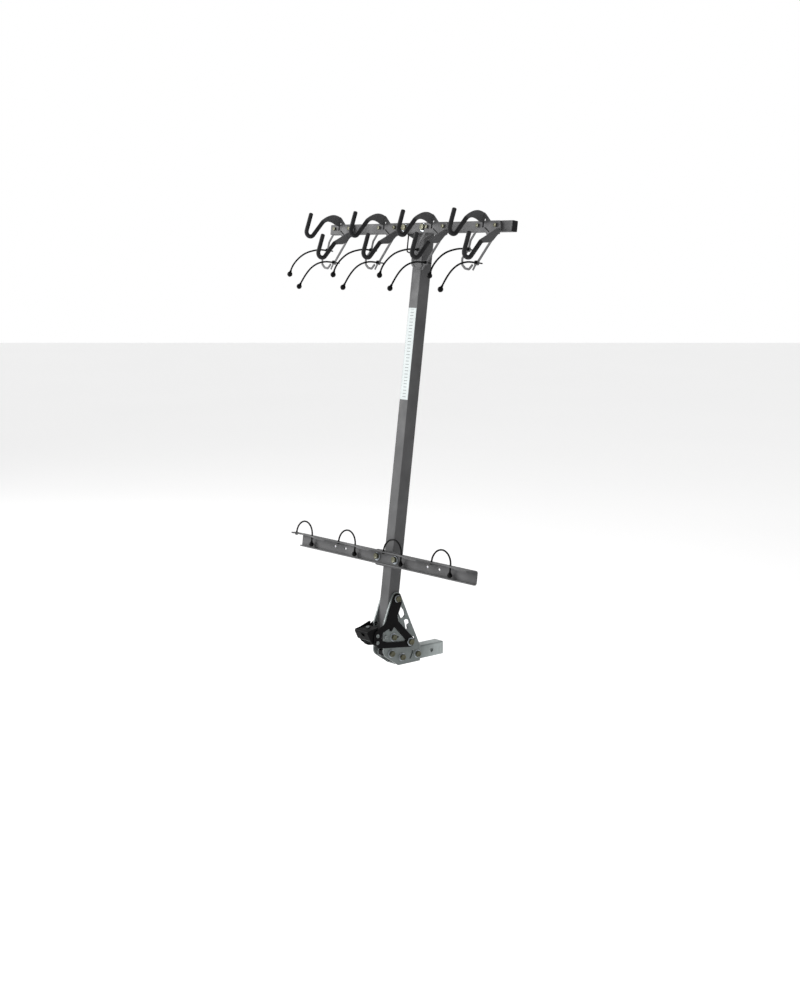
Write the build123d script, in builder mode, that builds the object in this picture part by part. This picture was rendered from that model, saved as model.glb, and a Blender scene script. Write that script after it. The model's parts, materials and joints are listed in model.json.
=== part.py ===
from build123d import *
import os
from math import cos, hypot, pi, radians, sin, sqrt, tan

# Hitch mounted bike rack with four hanging stations.
# The origin is the centre of the hitch pin hole, +Y points to the vehicle and X runs across.

os.makedirs("parts", exist_ok=True)

# ---- driving dimensions, mm ----
gap = 0.4  # side clearance between bodies that move past each other

# hitch tube and side plates
tube_size = 50.8
tube_wall = 4.8
tube_front = 58.0
tube_rear = -184.0
pin_hole_r = 8.15
plate_t = 6.0
plate_in = tube_size / 2
plate_out = plate_in + plate_t

# main axes of the base, each as (y, z)
pivot = (-200.0, 83.0)
lever_pivot = (-184.0, 229.0)
lock_axis = (-119.0, 54.0)
base_bolts = ((-210.0, 21.7), (-157.2, 0.0), (-81.0, 0.0))
side_screws = ((-237.4, 90.0),)
plate_holes = ((-177.0, 81.0, 4.5), (-235.5, 131.0, 8.0))  # (y, z, radius) of the open holes

# rubber rest block between the side plates, with a plate on its left side
rest_plate_x = 0.0
rest_plate_t = 5.0

# bolts
bolt_r = 6.3
bolt_af = 21.0
head_h = 9.5
washer_r = 15.5
washer_t = 2.5
nut_h = 9.5
hole_clearance = 0.3
running = 0.06
small_bolt_r = 4.0
small_bolt_af = 13.0
small_head_h = 5.0

# latch lever
lever_t = 4.8
lever_in = plate_out + gap
lever_out = lever_in + lever_t
lever_slot_deg = 6.5
lever_washer_r = 13.5
pedal_t = 4.0
tread_front = (-279.0, 132.0)
tread_rear = (-331.0, 122.0)
lip_end = (-314.0, 88.0)
brace_foot = (-300.0, 78.0)
brace_r = 2.2
pedal_screws = ((-282.0, 102.0), (-282.0, 76.0))

# mast; v is square to the mast towards the vehicle, w runs up along it from the pivot
lean_deg = 7.4
mast_width = 50.0
mast_rear = -36.0
mast_depth = 50.8
mast_wall = 3.2
mast_corner = 3.5
mast_bottom = -30.0
bush_r = 11.0

# crossbar
crossbar_length = 994.0
crossbar_left = -490.0
crossbar_depth = 25.4
crossbar_height = 38.1
crossbar_wall = 2.5
crossbar_w = 1516.0
head_plate_t = 5.0
mast_bolt_x = 50.8
cap_t = 3.0
cap_plug = 14.0

# hook stations
station_pitch = 267.5
stations = 4
first_bolt_x = 345.0 - (stations - 1) * station_pitch
bracket_bolt_pitch = 88.9
strap_plate_t = 3.0
bracket_t = 5.0
upper_hook_x = 22.3
lower_hook_x = 107.5
lower_hook_drop = 80.5
rod_r = 4.8
bracket_hole_r = 4.8
sleeve_r = 8.0
weld_length = 5.0

# hook straps
strap_d = 6.5
strap_ball_r = 10.0
upper_clip = (-42.0, -81.0)
lower_clip = (6.0, -127.5)

# wheel bar and wheel ties
wheel_bar_left = -514.0
flange_left = -557.0
wheel_bar_w = 294.0
bar_length = 1000.0
web_height = 50.8
web_t = 4.8
lip_depth = 10.0
flange_front = -94.0
cradle_depth = 33.0
tie_x = 313.0 - (stations - 1) * station_pitch
tie_v = -58.5
tie_span = 100.6
tie_d = 6.5

# ---- derived planes and stack-up ----
cross_back = mast_rear - head_plate_t
cross_front = cross_back - crossbar_depth
strap_front = cross_front - strap_plate_t
bracket_front = strap_front - bracket_t
web_back = mast_rear - head_plate_t
web_front = web_back - web_t
wheel_bar_right = wheel_bar_left + bar_length
mast_top = crossbar_w + crossbar_height / 2 - cap_t
lean = radians(lean_deg)
along_v = Vector(0, cos(lean), -sin(lean))
along_w = Vector(0, sin(lean), cos(lean))
pivot_point = Vector(0, *pivot)


def base_side(x):
    """Plane across the base at x: sketch axes are Y and Z, it faces +X."""
    return Plane(origin=(x, 0, 0), x_dir=(0, 1, 0), z_dir=(1, 0, 0))


def mast_point(x, v, w):
    return pivot_point + Vector(x, 0, 0) + along_v * v + along_w * w


def mast_side(x):
    """Plane beside the mast at x: sketch axes are v and w, it faces +X."""
    return Plane(origin=mast_point(x, 0, 0), x_dir=along_v, z_dir=(1, 0, 0))


def mast_face(v):
    """Plane square to v: sketch axes are X and w, it faces away from the vehicle."""
    return Plane(origin=mast_point(0, v, 0), x_dir=(1, 0, 0), z_dir=along_v * -1)


def mast_section(w):
    """Plane square to the mast: sketch axes are X and v, it faces up the mast."""
    return Plane(origin=mast_point(0, 0, w), x_dir=(1, 0, 0), z_dir=along_w)


def save(name, label):
    name.part.label = label
    export_step(name.part, f"parts/{label}.step")


def fastener_rows(plane, points, start, end, radius, hex_af=None, bore=0.0):
    """Discs, rings or hexagons at the points, from start to end above the plane."""
    with BuildSketch(plane.offset(start)) as profile:
        with Locations(*points):
            if hex_af:
                RegularPolygon(hex_af / 2, 6, major_radius=False)
            else:
                Circle(radius)
            if bore:
                Circle(bore, mode=Mode.SUBTRACT)
    extrude(profile.sketch, amount=end - start)


# ---- base ----


def hitch_tube():
    half = tube_size / 2
    with BuildPart() as tube:
        with BuildSketch(Plane.XZ.offset(-tube_front)):
            RectangleRounded(tube_size, tube_size, 5.0)
            RectangleRounded(tube_size - 2 * tube_wall, tube_size - 2 * tube_wall, 2.0, mode=Mode.SUBTRACT)
        extrude(amount=tube_front - tube_rear)
        with BuildSketch(base_side(-half - 1)):
            Circle(pin_hole_r)
        extrude(amount=tube_size + 2, mode=Mode.SUBTRACT)
        with BuildSketch(base_side(-half - 1)):
            with Locations(*base_bolts[1:]):
                Circle(bolt_r + hole_clearance)
        extrude(amount=tube_size + 2, mode=Mode.SUBTRACT)
    save(tube, "hitch_tube")


def lever_slot_sketch():
    """Arc slot for the lock bolt, centred on the lever pivot."""
    dy = lock_axis[0] - lever_pivot[0]
    dz = lock_axis[1] - lever_pivot[1]
    turn = radians(lever_slot_deg)
    end = (dy * cos(turn) - dz * sin(turn), dy * sin(turn) + dz * cos(turn))
    half = turn / 2
    mid = (dy * cos(half) - dz * sin(half), dy * sin(half) + dz * cos(half))
    with BuildLine() as path:
        ThreePointArc(
            lock_axis,
            (lever_pivot[0] + mid[0], lever_pivot[1] + mid[1]),
            (lever_pivot[0] + end[0], lever_pivot[1] + end[1]),
        )
    return path.edges()[0]


slot_path = lever_slot_sketch()


def side_plate(label, x):
    with BuildPart() as plate:
        with BuildSketch(base_side(x)):
            with BuildLine():
                tip_left = (-206.0, 238.0)
                tip_right = (-163.0, 240.0)
                ThreePointArc(tip_left, (-184.0, 253.0), tip_right)
                Line(tip_right, (-112.0, 128.0))
                Line((-112.0, 128.0), (-72.0, 43.5))
                Line((-72.0, 43.5), (-66.0, 31.0))
                Line((-66.0, 31.0), (-66.0, -29.5))
                Line((-66.0, -29.5), (-175.0, -29.5))
                Line((-175.0, -29.5), (-233.0, 10.0))
                ThreePointArc((-233.0, 10.0), (-245.0, 24.0), (-246.0, 45.0))
                Line((-246.0, 45.0), (-247.0, 136.0))
                Line((-247.0, 136.0), tip_left)
            make_face()
            with Locations(pivot, *base_bolts):
                Circle(bolt_r + hole_clearance, mode=Mode.SUBTRACT)
            with Locations(lever_pivot, *side_screws):
                Circle(small_bolt_r, mode=Mode.SUBTRACT)
            for y, z, radius in plate_holes:
                with Locations((y, z)):
                    Circle(radius, mode=Mode.SUBTRACT)
            SlotArc(slot_path, 2 * (bolt_r + 1.7), mode=Mode.SUBTRACT)
            # window behind the latch lever
            with BuildLine():
                FilletPolyline(
                    (-161.0, 198.0), (-145.0, 176.0), (-141.0, 161.0), (-149.0, 152.0), (-172.0, 144.0),
                    (-178.0, 161.0), radius=4, close=True
                )
            make_face(mode=Mode.SUBTRACT)
            # hooked cut-out for opening bottles
            with BuildLine():
                FilletPolyline(
                    (-147.0, 141.0), (-137.0, 143.5), (-122.0, 137.0), (-118.5, 125.0), (-131.0, 119.5),
                    (-128.0, 103.0), (-137.5, 103.0), radius=2.6, close=True
                )
            make_face(mode=Mode.SUBTRACT)
            with Locations(Location((-109.0, 2.5), 66.0)):
                SlotOverall(38.0, 10.0, mode=Mode.SUBTRACT)
        extrude(amount=plate_t)
    save(plate, label)


def base_hardware():
    """The base bolts and the mast's pivot bolt, all alike, with washers and nuts."""
    side = base_side(plate_out)
    far = base_side(-plate_out)
    points = [*base_bolts, pivot]
    with BuildPart() as bolts:
        fastener_rows(side, points, washer_t, washer_t + head_h, 0, hex_af=bolt_af)
        fastener_rows(side, points, -2 * plate_out - washer_t - nut_h - 3, washer_t, bolt_r)
    save(bolts, "base_bolts")
    with BuildPart() as washers:
        fastener_rows(side, points, 0, washer_t, washer_r, bore=bolt_r)
        fastener_rows(far, points, -washer_t, 0, washer_r, bore=bolt_r)
    save(washers, "base_washers")
    with BuildPart() as nuts:
        fastener_rows(far, points, -washer_t - nut_h, -washer_t, 0, hex_af=bolt_af, bore=bolt_r)
    save(nuts, "base_nuts")
    with BuildPart() as screws:
        for sign in (1, -1):
            face = Plane(origin=(sign * plate_out, 0, 0), x_dir=(0, sign, 0), z_dir=(sign, 0, 0))
            spots = [(sign * y, z) for y, z in side_screws]
            fastener_rows(face, spots, 0, small_head_h, 0, hex_af=small_bolt_af)
            fastener_rows(face, spots, -plate_t, 0, small_bolt_r)
    save(screws, "side_screws")


def lever_pivot_bolts():
    """Shoulder bolts that screw into the side plates and carry the latch lever."""
    with BuildPart() as bolts:
        for sign in (1, -1):
            side = Plane(origin=(sign * plate_out, 0, 0), x_dir=(0, sign, 0), z_dir=(sign, 0, 0))
            point = (sign * lever_pivot[0], lever_pivot[1])
            fastener_rows(side, [point], -plate_t, 0, small_bolt_r)
            shoulder = lever_t + 2 * gap
            top = shoulder + washer_t
            fastener_rows(side, [point], 0, shoulder, bolt_r)
            fastener_rows(side, [point], shoulder, top, lever_washer_r)
            fastener_rows(side, [point], top, top + head_h, 0, hex_af=bolt_af)
    save(bolts, "lever_pivot_bolts")


def rest_block():
    """Rubber block under the mast's foot, held by the rear base bolt."""
    with BuildPart() as block:
        with BuildSketch(base_side(rest_plate_x)):
            with BuildLine():
                FilletPolyline(
                    (-247.0, 38.0), (-222.0, 35.0), (-199.0, 35.0), (-199.0, 11.0), (-228.0, 11.0),
                    (-247.0, 20.0), radius=3, close=True
                )
            make_face()
            with Locations(base_bolts[0]):
                Circle(bolt_r, mode=Mode.SUBTRACT)
        extrude(amount=plate_in - rest_plate_x)
    save(block, "rest_block")
    with BuildPart() as plate:
        with BuildSketch(base_side(rest_plate_x - rest_plate_t)):
            with BuildLine():
                FilletPolyline(
                    (-245.0, 40.0), (-199.0, 40.0), (-199.0, 6.0), (-230.0, 6.0), (-245.0, 20.0),
                    radius=5, close=True
                )
            make_face()
            with Locations(base_bolts[0]):
                Circle(bolt_r, mode=Mode.SUBTRACT)
        extrude(amount=rest_plate_t)
    save(plate, "rest_plate")


# ---- latch lever ----


def latch_plate(label, x):
    with BuildPart() as plate:
        with BuildSketch(base_side(x)):
            with BuildLine():
                FilletPolyline(
                    (-203.2, 232.0), (-238.0, 143.0), (-252.0, 134.5), (-269.0, 128.0), (-290.0, 118.0),
                    (-297.0, 104.0), (-297.0, 77.0), (-284.0, 60.0),
                    (-268.0, 52.0), (-221.0, 46.0), (-121.0, 34.0), (-104.0, 40.0), (-99.0, 58.0),
                    (-116.0, 79.0), (-141.0, 103.0), (-166.0, 129.0), (-180.0, 144.0), (-183.0, 164.0),
                    (-162.0, 210.0), (-165.0, 234.0),
                    radius=6.0, close=True
                )
            make_face()
            with Locations(lever_pivot):
                Circle(19.5)
            with Locations(lock_axis):
                Circle(19.5)
            # window round the mast's pivot bolt
            with BuildLine():
                FilletPolyline(
                    (-198.0, 125.0), (-140.0, 64.0), (-146.0, 59.0), (-191.0, 63.5), (-230.0, 68.5),
                    (-255.0, 78.0), (-262.0, 91.0), (-255.0, 109.0), (-229.0, 118.5), (-216.0, 121.0),
                    (-220.0, 111.0), (-212.0, 108.0), radius=2.4, close=True
                )
            make_face(mode=Mode.SUBTRACT)
            with Locations(lever_pivot):
                Circle(bolt_r + running, mode=Mode.SUBTRACT)
            with Locations(lock_axis):
                Circle(bolt_r, mode=Mode.SUBTRACT)
            with Locations(*pedal_screws):
                Circle(small_bolt_r, mode=Mode.SUBTRACT)
        extrude(amount=lever_t)
    save(plate, label)


def foot_pedal():
    """Sheet bent into a sloping tread and a rear lip, between two side flanges."""
    tail = ((-272.0, 64.0), (-284.0, 62.0), (-300.0, 72.0), lip_end)
    right_flange = ((-277.0, 131.0), (-272.0, 118.0), *tail, (-330.0, 121.0))
    left_flange = ((-260.0, 147.0), *tail, (-331.0, 123.5))
    fall = Vector(0, lip_end[0] - tread_rear[0], lip_end[1] - tread_rear[1]).normalized()
    lip_face = Plane(
        origin=Vector(8.0, *tread_rear) + fall * 14.0, x_dir=(1, 0, 0), z_dir=Vector(0, fall.Z, -fall.Y)
    )
    with BuildPart() as pedal:
        with BuildSketch(base_side(-lever_out)):
            with BuildLine() as bend:
                FilletPolyline(tread_front, tread_rear, lip_end, radius=5)
            trace(bend.line, line_width=pedal_t)
        extrude(amount=2 * lever_out)
        with BuildSketch(lip_face):
            RectangleRounded(19.0, 15.0, 6.0)
        extrude(amount=12.0, both=True, mode=Mode.SUBTRACT)
        with BuildSketch(base_side(-lever_in)):
            with Locations(Location(brace_foot, 56.0)):
                RectangleRounded(10.0, 3.0, 1.2)
        extrude(amount=2 * lever_in)
        for x, outline in ((-lever_in, left_flange), (lever_in - pedal_t, right_flange)):
            with BuildSketch(base_side(x)):
                with BuildLine():
                    FilletPolyline(*outline, radius=3, close=True)
                make_face()
            extrude(amount=pedal_t)
        with BuildSketch(base_side(-lever_out)):
            with Locations(*pedal_screws):
                Circle(small_bolt_r)
        extrude(amount=2 * lever_out, mode=Mode.SUBTRACT)
    save(pedal, "foot_pedal")


def pedal_screws_set():
    with BuildPart() as screws:
        for sign in (1, -1):
            side = Plane(origin=(sign * lever_out, 0, 0), x_dir=(0, sign, 0), z_dir=(sign, 0, 0))
            points = [(sign * y, z) for y, z in pedal_screws]
            fastener_rows(side, points, 0, small_head_h, 0, hex_af=small_bolt_af)
            fastener_rows(side, points, -lever_t - pedal_t - 5, 0, small_bolt_r)
        slope = Vector(0, tread_front[0] - tread_rear[0], tread_front[1] - tread_rear[1]).normalized()
        up = Vector(0, -slope.Z, slope.Y)
        middle = Vector(0, (tread_front[0] + tread_rear[0]) / 2, (tread_front[1] + tread_rear[1]) / 2)
        tread = Plane(origin=middle + slope * 8 + up * (pedal_t / 2), x_dir=(1, 0, 0), z_dir=up)
        fastener_rows(tread, [(0, 0)], 0, small_head_h, 0, hex_af=small_bolt_af)
        # plated bar that braces the flanges just above the strip
        with BuildSketch(base_side(-lever_in + pedal_t)) as brace:
            with Locations((brace_foot[0] - 3.5, brace_foot[1] + 5.5)):
                Circle(brace_r)
        extrude(brace.sketch, amount=2 * (lever_in - pedal_t))
    save(screws, "pedal_screws")


def lock_bolt():
    side = base_side(lever_out)
    far = base_side(-lever_out)
    with BuildPart() as bolt:
        fastener_rows(side, [lock_axis], washer_t, washer_t + head_h, 0, hex_af=bolt_af)
        fastener_rows(side, [lock_axis], -2 * lever_out - washer_t - nut_h - 3, washer_t, bolt_r)
    save(bolt, "lock_bolt")
    with BuildPart() as nut:
        fastener_rows(side, [lock_axis], 0, washer_t, washer_r, bore=bolt_r)
        fastener_rows(far, [lock_axis], -washer_t, 0, washer_r, bore=bolt_r)
        fastener_rows(far, [lock_axis], -washer_t - nut_h, -washer_t, 0, hex_af=bolt_af, bore=bolt_r)
    save(nut, "lock_nut")
    with BuildPart() as roller:
        fastener_rows(base_side(-10.0), [lock_axis], 0, 20.0, 9.0, bore=bolt_r)
    save(roller, "lock_roller")
    # spring coil on the lock bolt, with one leg that reaches down to the hitch tube
    with BuildPart() as spring:
        fastener_rows(base_side(-24.0), [lock_axis], 0, 13.0, 9.5, bore=bolt_r)
        with BuildSketch(base_side(-24.0)):
            with BuildLine():
                foot = (-146.0, tube_size / 2 + 2.2)
                Line((lock_axis[0] - 3.0, lock_axis[1] - 8.0), foot)
            trace(line_width=3.0)
        extrude(amount=3.0)
    save(spring, "return_spring")


# ---- mast ----


def mast():
    middle = mast_rear + mast_depth / 2
    with BuildPart() as tube:
        with BuildSketch(mast_section(mast_bottom)):
            with Locations((0, middle)):
                RectangleRounded(mast_width, mast_depth, mast_corner)
                RectangleRounded(
                    mast_width - 2 * mast_wall, mast_depth - 2 * mast_wall, 2.0, mode=Mode.SUBTRACT
                )
        extrude(amount=mast_top - mast_bottom)
        with BuildSketch(base_side(-mast_width / 2 - 1)):
            with Locations(pivot):
                Circle(bush_r)
        extrude(amount=mast_width + 2, mode=Mode.SUBTRACT)
        add(catch_blank, mode=Mode.SUBTRACT)
    save(tube, "mast")
    with BuildPart() as bush:
        fastener_rows(
            base_side(-mast_width / 2), [pivot], 0, mast_width, bush_r, bore=bolt_r + running
        )
    save(bush, "pivot_bush")
    with BuildPart() as decal:
        with BuildSketch(mast_face(mast_rear)):
            with Locations((0, 1057.5)):
                Rectangle(mast_width - 2 * mast_corner, 339.0)
        extrude(amount=0.6)
    save(decal, "mast_decal")


def catch_arm():
    """Plate through the mast's foot whose nose ends just short of the lock roller."""
    reach = hypot(lock_axis[0] - pivot[0], lock_axis[1] - pivot[1]) - 9.0 - 0.6
    with BuildPart() as arm:
        with BuildSketch(base_side(-6.0)):
            with Locations(pivot):
                Circle(26.0)
            with BuildLine():
                Polyline(
                    (pivot[0], pivot[1] + 26.0), (pivot[0] + 100.0, pivot[1] + 2.0),
                    (pivot[0] + 100.0, pivot[1] - 46.0), (pivot[0], pivot[1] - 26.0), close=True
                )
            make_face()
            with Locations(pivot):
                Circle(reach, mode=Mode.INTERSECT)
            with Locations(pivot):
                Circle(bush_r, mode=Mode.SUBTRACT)
        extrude(amount=12.0)
    return arm


catch = catch_arm()
catch_blank = catch.part


def head_plate():
    half_height = crossbar_height / 2
    with BuildPart() as plate:
        with BuildSketch(mast_face(mast_rear)) as outline:
            with BuildLine():
                Polyline(
                    (-65.0, crossbar_w + half_height), (65.0, crossbar_w + half_height),
                    (65.0, crossbar_w - half_height - 2.0), (30.0, crossbar_w - half_height - 16.0),
                    (30.0, crossbar_w - 98.0), (-30.0, crossbar_w - 98.0),
                    (-30.0, crossbar_w - half_height - 16.0), (-65.0, crossbar_w - half_height - 2.0),
                    close=True,
                )
            make_face()
            fillet(outline.vertices(), 5.0)
            with Locations((-mast_bolt_x, crossbar_w), (mast_bolt_x, crossbar_w)):
                Circle(bolt_r, mode=Mode.SUBTRACT)
        extrude(amount=head_plate_t)
    save(plate, "head_plate")
    with BuildPart() as plate:
        with BuildSketch(mast_face(mast_rear)):
            with Locations((0, wheel_bar_w - 2.5)):
                RectangleRounded(130.0, web_height + 9.0, 6.0)
            with Locations((-mast_bolt_x, wheel_bar_w), (mast_bolt_x, wheel_bar_w)):
                Circle(bolt_r, mode=Mode.SUBTRACT)
        extrude(amount=head_plate_t)
    save(plate, "bar_plate")


def crossbar():
    right = crossbar_left + crossbar_length
    middle = (cross_back + cross_front) / 2
    across = Plane(origin=mast_point(crossbar_left, middle, crossbar_w), x_dir=along_v, z_dir=(1, 0, 0))
    bolt_xs = [-mast_bolt_x, mast_bolt_x]
    for i in range(stations):
        left = first_bolt_x + i * station_pitch
        bolt_xs += [left, left + bracket_bolt_pitch]
    inside = (crossbar_depth - 2 * crossbar_wall, crossbar_height - 2 * crossbar_wall)
    with BuildPart() as bar:
        with BuildSketch(across):
            RectangleRounded(crossbar_depth, crossbar_height, 3.0)
            RectangleRounded(*inside, 1.0, mode=Mode.SUBTRACT)
        extrude(amount=crossbar_length)
        with BuildSketch(mast_face(cross_back + 1)):
            with Locations(*[(x, crossbar_w) for x in bolt_xs[:2]]):
                Circle(bolt_r)
            with Locations(*[(x, crossbar_w) for x in bolt_xs[2:]]):
                Circle(small_bolt_r)
        extrude(amount=crossbar_depth + 2, mode=Mode.SUBTRACT)
    save(bar, "crossbar")
    with BuildPart() as caps:
        with BuildSketch(mast_section(mast_top)):
            with Locations((0, mast_rear + mast_depth / 2)):
                RectangleRounded(mast_width, mast_depth, mast_corner)
        extrude(amount=cap_t)
        with BuildSketch(mast_section(mast_top)):
            with Locations((0, mast_rear + mast_depth / 2)):
                RectangleRounded(mast_width - 2 * mast_wall, mast_depth - 2 * mast_wall, 2.0)
        extrude(amount=-cap_plug)
        for x, out in ((crossbar_left, -1), (right, 1)):
            face = Plane(origin=mast_point(x, middle, crossbar_w), x_dir=along_v, z_dir=(1, 0, 0))
            with BuildSketch(face):
                RectangleRounded(crossbar_depth, crossbar_height, 3.0)
            extrude(amount=cap_t * out)
            with BuildSketch(face):
                RectangleRounded(
                    crossbar_depth - 2 * crossbar_wall, crossbar_height - 2 * crossbar_wall, 1.0
                )
            extrude(amount=-cap_plug * out)
    save(caps, "end_caps")


def mast_bolts():
    head = [(-mast_bolt_x, crossbar_w), (mast_bolt_x, crossbar_w)]
    foot = [(-mast_bolt_x, wheel_bar_w), (mast_bolt_x, wheel_bar_w)]
    with BuildPart() as bolts:
        for points, front in ((head, cross_front), (foot, web_front)):
            face = mast_face(front)
            grip = mast_rear - front
            fastener_rows(face, points, washer_t, washer_t + head_h, 0, hex_af=bolt_af)
            fastener_rows(face, points, -grip - washer_t - nut_h - 2, washer_t, bolt_r)
    save(bolts, "bar_bolts")
    with BuildPart() as washers:
        for points, front in ((head, cross_front), (foot, web_front)):
            fastener_rows(mast_face(front), points, 0, washer_t, washer_r, bore=bolt_r)
            fastener_rows(mast_face(mast_rear), points, -washer_t, 0, 13.0, bore=bolt_r)
    save(washers, "bar_washers")
    with BuildPart() as nuts:
        for points in (head, foot):
            fastener_rows(
                mast_face(mast_rear + washer_t), points, -nut_h, 0, 0, hex_af=bolt_af, bore=bolt_r
            )
    save(nuts, "bar_nuts")


def lock_loop():
    """Bent rod from under the crossbar to the side of the mast."""
    low = crossbar_w - crossbar_height / 2
    side = -mast_width / 2
    with BuildPart() as loop:
        with BuildLine() as path:
            FilletPolyline(
                mast_point(-42.0, -54.0, low), mast_point(-42.0, -54.0, low - 66.0),
                mast_point(-42.0, -14.0, low - 72.0), mast_point(side, -14.0, low - 72.0), radius=7
            )
        with BuildSketch(Plane(origin=path.line @ 0, z_dir=path.line % 0)):
            Circle(2.5)
        sweep()
    save(loop, "lock_loop")


# ---- wheel bar and ties ----


def flange_outline():
    """Flange seen from above: straight at the web, scalloped in front of each wheel."""
    half_chord = 104.0
    bottom = flange_front + cradle_depth
    centres = [tie_x + 9.0 + i * station_pitch for i in range(stations)]
    with BuildLine() as edge:
        radius = (half_chord**2 + cradle_depth**2) / (2 * cradle_depth)
        rise = radius - sqrt(radius**2 - (centres[0] - flange_left) ** 2)
        start = (flange_left, bottom - rise)
        Line((flange_left, web_front), start)
        corner = (centres[0] + half_chord, flange_front)
        quarter = (start[0] + corner[0]) / 2
        lift = radius - sqrt(radius**2 - (quarter - centres[0]) ** 2)
        ThreePointArc(start, (quarter, bottom - lift), corner)
        for centre in centres[1:]:
            left = (centre - half_chord, flange_front)
            right = (centre + half_chord, flange_front)
            Line(corner, left)
            ThreePointArc(left, (centre, bottom), right)
            corner = right
        end = (wheel_bar_right, flange_front)
        Line(corner, end)
        Line(end, (wheel_bar_right, web_front))
        Line((wheel_bar_right, web_front), (flange_left, web_front))
    return edge.line


flange_edge = flange_outline()


def tie_feet():
    feet = []
    for i in range(stations):
        middle = tie_x + i * station_pitch
        feet += [(middle - tie_span / 2, tie_v), (middle + tie_span / 2, tie_v)]
    return feet


def wheel_bar():
    low = wheel_bar_w - web_height / 2
    high = wheel_bar_w + web_height / 2
    middle = (wheel_bar_left + wheel_bar_right) / 2
    hole_pairs = []
    for i in (1, 3):
        centre = tie_x + i * station_pitch
        hole_pairs += [(centre - 85.0, wheel_bar_w + 2), (centre - 21.0, wheel_bar_w + 2)]
    with BuildPart() as bar:
        with BuildSketch(mast_face(web_back)) as web:
            with Locations((middle, wheel_bar_w)):
                Rectangle(bar_length, web_height)
            fillet(web.vertices().sort_by(Axis.X)[-2:], 8.0)
            with Locations((-mast_bolt_x, wheel_bar_w), (mast_bolt_x, wheel_bar_w)):
                Circle(bolt_r, mode=Mode.SUBTRACT)
            with Locations(*hole_pairs):
                SlotOverall(13.0, 8.0, mode=Mode.SUBTRACT)
        extrude(amount=web_t)
        with BuildSketch(mast_section(high - web_t)):
            with BuildLine():
                add(flange_edge)
            make_face()
            with Locations(*tie_feet()):
                Circle(tie_d / 2 + 0.3, mode=Mode.SUBTRACT)
        extrude(amount=web_t)
        with BuildSketch(mast_section(low)):
            with Locations((middle, web_front - lip_depth / 2)):
                Rectangle(bar_length, lip_depth)
        extrude(amount=web_t)
        ends = bar.edges().filter_by(GeomType.LINE).filter_by(
            lambda e: abs(e.length - web_t) < 0.01
            and abs(abs(e.tangent_at(0).dot(along_w)) - 1) < 0.001
        )
        right_front = ends.sort_by(lambda e: (e @ 0).X - (e @ 0).Y)[-1]
        fillet(right_front, 8.0)
        left_front = ends.filter_by(lambda e: (e @ 0).X < flange_left + 1).sort_by(Axis.Y)[0]
        fillet(left_front, 6.0)
    save(bar, "wheel_bar")


def wheel_ties():
    """Rubber loops, each with a stud foot under the flange and a ball on its free end."""
    high = wheel_bar_w + web_height / 2
    under = high - web_t
    half = tie_span / 2
    ball_w = high - 34.0
    with BuildPart() as ties:
        for i in range(stations):
            middle = tie_x + i * station_pitch
            with BuildLine(mast_face(tie_v)) as loop:
                Line((middle - half, under - 1.0), (middle - half, high))
                ThreePointArc((middle - half, high), (middle, high + half), (middle + half, high))
                Line((middle + half, high), (middle + half, ball_w))
            path = loop.wires()[0]
            with BuildSketch(Plane(origin=path @ 0, z_dir=path % 0)) as section:
                Circle(tie_d / 2)
            sweep(section.sketch, path=path)
            fastener_rows(mast_section(under), [(middle - half, tie_v)], -5.0, 0, 6.0)
            with Locations(mast_point(middle + half, tie_v, ball_w)):
                Sphere(9.5)
    save(ties, "wheel_ties")


# ---- hook stations ----


def hook_line(x, shift_w):
    """Centreline of one hook rod, from the bracket's end to the tip."""
    base_v = bracket_front
    top_w = crossbar_w - shift_w
    return FilletPolyline(
        mast_point(x, base_v - 80.0, top_w + 15.5),
        mast_point(x, base_v - 124.5, top_w - 46.0),
        mast_point(x, base_v - 157.0, top_w - 46.0),
        mast_point(x, base_v - 139.0, top_w + 37.0),
        radius=17.5,
    )


def round_sweep(path, radius):
    with BuildSketch(Plane(origin=path @ 0, z_dir=path % 0)) as section:
        Circle(radius)
    sweep(section.sketch, path=path)


def hook_rods(index, xs):
    """Two rods, their sleeves and the blank that notches the bracket for them."""
    lines = [hook_line(xs[0], 0.0), hook_line(xs[1], lower_hook_drop)]
    with BuildPart() as rods:
        for line in lines:
            with BuildSketch(Plane(origin=line @ 0, z_dir=line % 0)):
                Circle(rod_r)
            extrude(amount=-weld_length)
            round_sweep(line, rod_r)
    save(rods, f"hook_rods_{index}")
    with BuildPart() as sleeves:
        for line in lines:
            round_sweep(line, sleeve_r)
            with BuildSketch(Plane(origin=line @ 1, z_dir=line % 1)):
                Circle(sleeve_r)
            extrude(amount=5.0)
        tips = [line @ 1 + (line % 1) * 5.0 for line in lines]
        rims = sleeves.edges().filter_by(GeomType.CIRCLE).filter_by(
            lambda e: any((e.arc_center - tip).length < 0.1 for tip in tips)
        )
        fillet(rims, 4.5)
        add(rods.part, mode=Mode.SUBTRACT)
    save(sleeves, f"hook_sleeves_{index}")
    return rods.part


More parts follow.
